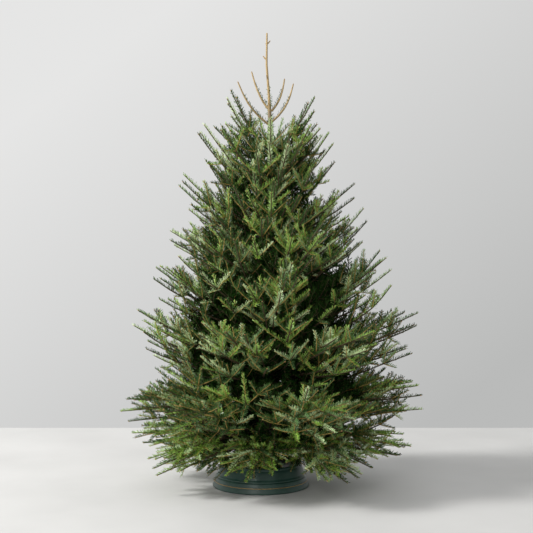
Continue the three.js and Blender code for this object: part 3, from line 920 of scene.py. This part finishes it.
wood_way = put(needle_tree, "GeometryNodeInputNamedAttribute", {"Name": "wood_way"},
               data_type="FLOAT_VECTOR").outputs[0]
share = put(needle_tree, "GeometryNodeInputNamedAttribute", {"Name": "along"}, data_type="FLOAT").outputs[0]
count = put(needle_tree, "GeometryNodeInputIndex").outputs[0]
spiral = math_node("FRACT", math_node("ADD", math_node("MULTIPLY", count, GOLDEN), random_node(0.0, 0.16, 1)))
hand = math_node("SUBTRACT", math_node("MULTIPLY", spiral, 2.0), 1.0)  # -1 to 1, 0 is straight up
from_top = math_node("MULTIPLY_ADD", math_node("ABSOLUTE", hand), COMB_OVER, COMB_FROM)
roll = math_node("MULTIPLY", math_node("SIGN", hand), from_top)
forward = math_node("MULTIPLY", math_node("MULTIPLY", share, share), LEAN_AT_TIP)
lean = math_node("ADD", math_node("ADD", forward, LEAN), random_node(-LEAN_SPREAD, LEAN_SPREAD, 2))
level = vector_node("NORMALIZE", vector_node("CROSS_PRODUCT", wood_way, (0.06, 0.09, 1.0)))
above = vector_node("NORMALIZE", vector_node("CROSS_PRODUCT", level, wood_way))
outward = vector_node("ADD", vector_node("SCALE", above, scale=math_node("COSINE", roll)),
                      vector_node("SCALE", level, scale=math_node("SINE", roll)))
needle_way = vector_node("ADD", vector_node("SCALE", wood_way, scale=math_node("COSINE", lean)),
                         vector_node("SCALE", outward, scale=math_node("SINE", lean)))
needle_way = vector_node("ADD", needle_way, vector_node("SCALE", above, scale=UPSWEEP))
twist = vector_node("SCALE", level, scale=random_node(-1.0, 1.0, 4))
upper_face = vector_node("ADD", vector_node("SCALE", above, scale=0.7),
                         vector_node("SCALE", wood_way, scale=0.5))
upper_face = vector_node("ADD", upper_face, twist)
turned = put(needle_tree, "FunctionNodeAxesToRotation", {
    "Primary Axis": needle_way, "Secondary Axis": upper_face}, primary_axis="X", secondary_axis="Z")
shape = put(needle_tree, "GeometryNodeObjectInfo", {"Object": given.outputs["Needle"]})
shorter = math_node("MULTIPLY_ADD", math_node("MULTIPLY", share, share), SHORTER_AT_TIP, 1.0)
needle_long = math_node("MULTIPLY", given.outputs["Length"], shorter)
needle_long = math_node("MULTIPLY", needle_long, random_node(0.75, 1.1, 3))
size = put(needle_tree, "ShaderNodeCombineXYZ", {0: needle_long, 1: given.outputs["Width"], 2: needle_long})
set_on = put(needle_tree, "GeometryNodeInstanceOnPoints", {
    "Points": tangent.outputs[0], "Instance": shape.outputs["Geometry"], "Rotation": turned.outputs[0],
    "Scale": size.outputs[0]})
whole = put(needle_tree, "GeometryNodeRealizeInstances", {0: set_on.outputs[0]})
cleaned = whole.outputs[0]
for spare in ("along", "wood_way", "spacing"):
    cleaned = put(needle_tree, "GeometryNodeRemoveAttribute", {0: cleaned, "Name": spare}).outputs[0]
end_tree(needle_tree, cleaned, given.outputs["Material"])


def needle_material(name, upper, upper_light, under, shine):
    """Green of two shades above, silvery beneath where the breathing pores lie."""
    material, tree, shader = new_material(name, 0.45, Specular_IOR_Level=shine)
    top = two_colours(tree, speckle(tree, 130, -0.45, 1.3, 2), upper, upper_light)
    side = put(tree, "ShaderNodeNewGeometry").outputs["Backfacing"]
    tree.links.new(two_colours(tree, side, top, under), shader.inputs["Base Color"])
    tree.links.new(speckle(tree, 80, 0.28, 0.50), shader.inputs["Roughness"])
    return material


# Each tint's two greens above, its colour beneath and its shine.
TINTS = {tint: needle_material("needles_" + tint, *looks) for tint, *looks in (
    ("deep", (0.003, 0.015, 0.002), (0.034, 0.090, 0.009), (0.06, 0.13, 0.03), 0.28),
    ("blue", (0.018, 0.058, 0.013), (0.115, 0.230, 0.070), (0.21, 0.34, 0.13), 0.32),
    ("frosted", (0.085, 0.180, 0.052), (0.55, 0.70, 0.36), (0.56, 0.70, 0.38), 0.40),
    ("fresh", (0.020, 0.076, 0.003), (0.300, 0.500, 0.060), (0.31, 0.50, 0.11), 0.40))}
# The inner needles' darker greens above and beneath and their near-zero shine are painted shade for the crown's
# inside.
painted_shade_green = needle_material(
    "needles_painted_shade", (0.003, 0.015, 0.002), (0.012, 0.040, 0.005), (0.018, 0.045, 0.009), 0.02)
# The share of each tint among the outer sprays of each zone.
TINT_SHARES = {
    "skirt": {"deep": 0.34, "blue": 0.06, "frosted": 0.20, "fresh": 0.40},
    "foot": {"deep": 0.48, "blue": 0.21, "frosted": 0.13, "fresh": 0.18},
    "waist": {"deep": 0.38, "blue": 0.17, "frosted": 0.19, "fresh": 0.26},
    "top": {"deep": 0.54, "blue": 0.08, "frosted": 0.14, "fresh": 0.24},
}
FULL, SHADED = 0.00195, 0.0039  # from one needle to the next, on an outer shoot and in the shade
THINNED = 1.6  # how many times further apart they are on the older years of an outer shoot
OUTER_NEEDLE, SHADED_NEEDLE = (0.0225, 0.0028), (0.029, 0.0046)  # their length, and the scale of their width
# The share of its mass's reach within which a shoot has shed its needles.
BARE_WITHIN = {"skirt": 0.42, "foot": 0.22, "waist": 0.14, "top": 0.08}
needle_lines = {(zone, tint): ([], []) for zone in ZONE_TIERS for tint in [*TINTS, "shaded"]}


def tint_of(axis):
    """The tint that an axis's spray drew, by the shares of its zone."""
    shares = TINT_SHARES[zone_of[axis.mass.tier]]
    so_far = 0
    for tint, share in shares.items():
        so_far += share
        if axis.spray < so_far:
            return tint
    return tint


for axis in axes:
    for k in range(0, len(axis.points) - 2, 2):
        year_of = axis.points[k:k + 3]
        if outwardness(year_of[1], axis.mass) < BARE_WITHIN[zone_of[axis.mass.tier]]:
            continue
        newest = k + 3 >= len(axis.points)
        outer = is_outer(year_of[1], axis.mass)
        if not outer:
            spacing = SHADED
        elif newest:
            spacing = FULL
        else:
            spacing = FULL * THINNED
        lines_here, spacings = needle_lines[zone_of[axis.mass.tier], tint_of(axis) if outer else "shaded"]
        lines_here.append(year_of)
        spacings += [spacing] * len(year_of)

# The crown's arms bear a few needles up to two thirds of their length, and so does the foot of the leader.
leader_foot = [trunk_at(CROWN_NODE - 0.07)[0], trunk_at(CROWN_NODE)[0], trunk_at(CROWN_NODE + 0.09)[0]]
for line in [arm[1:6] for arm in arm_lines if len(arm) > ARM_KNOTS] + [leader_foot]:
    lines_here, spacings = needle_lines["top", "deep"]
    lines_here.append(line)
    spacings += [0.0020 + 0.0030 * k / len(line) for k in range(len(line))]

for (zone, tint), (lines_here, spacings) in needle_lines.items():
    name = f"needles_{zone}_{tint}"
    long, wide = SHADED_NEEDLE if tint == "shaded" else OUTER_NEEDLE
    piece = grown(as_lines(name + "_lines", lines_here, spacing=spacings), needle_tree, name,
                  Needle=needle, Length=long, Width=wide, Seed=11, Material=TINTS.get(tint, painted_shade_green))
    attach(piece, "root")
    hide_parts(*[m.name for m in masses if zone_of[m.tier] == zone])
bpy.data.objects.remove(needle)
